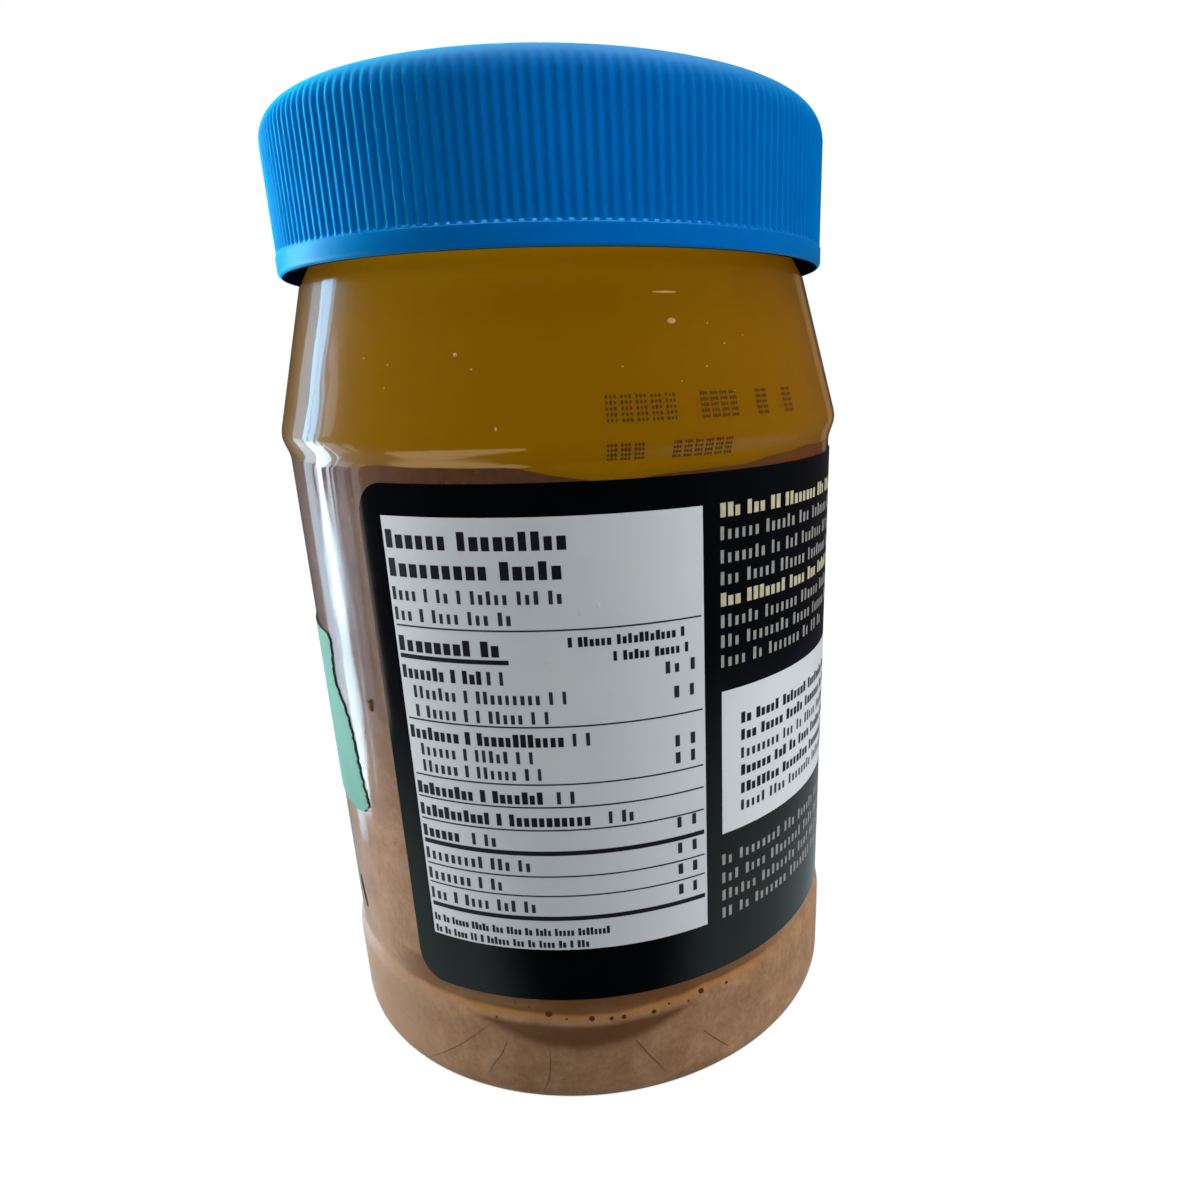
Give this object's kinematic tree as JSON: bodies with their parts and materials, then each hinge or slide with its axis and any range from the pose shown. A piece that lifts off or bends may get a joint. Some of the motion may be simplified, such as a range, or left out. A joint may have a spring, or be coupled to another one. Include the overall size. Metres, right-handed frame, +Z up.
{
  "type": "peanut butter jar",
  "caption": "Clear round jar of settled peanut butter under its risen oil, shut by a ribbed screw cap, with a dark back label and a green front label.",
  "frame": {"origin": "centre of the foot ring, on the surface that the jar stands on", "axes": "+Z up along the jar's axis; -Y towards the side with the back label that the picture shows"},
  "size_m": [0.098, 0.098, 0.161],
  "materials": {
    "jar": "clear moulded PET",
    "cap": "satin moulded polypropylene",
    "peanut_butter": "oily ground paste",
    "oil": "clear amber oil",
    "back_label": "coated film, dark print",
    "front_label": "coated film, green print"
  },
  "bodies": {
    "root": {"jar": "jar", "cap": "cap", "peanut_butter": "peanut_butter", "oil": "oil", "back_label": "back_label", "front_label": "front_label"}
  },
  "joints": []
}
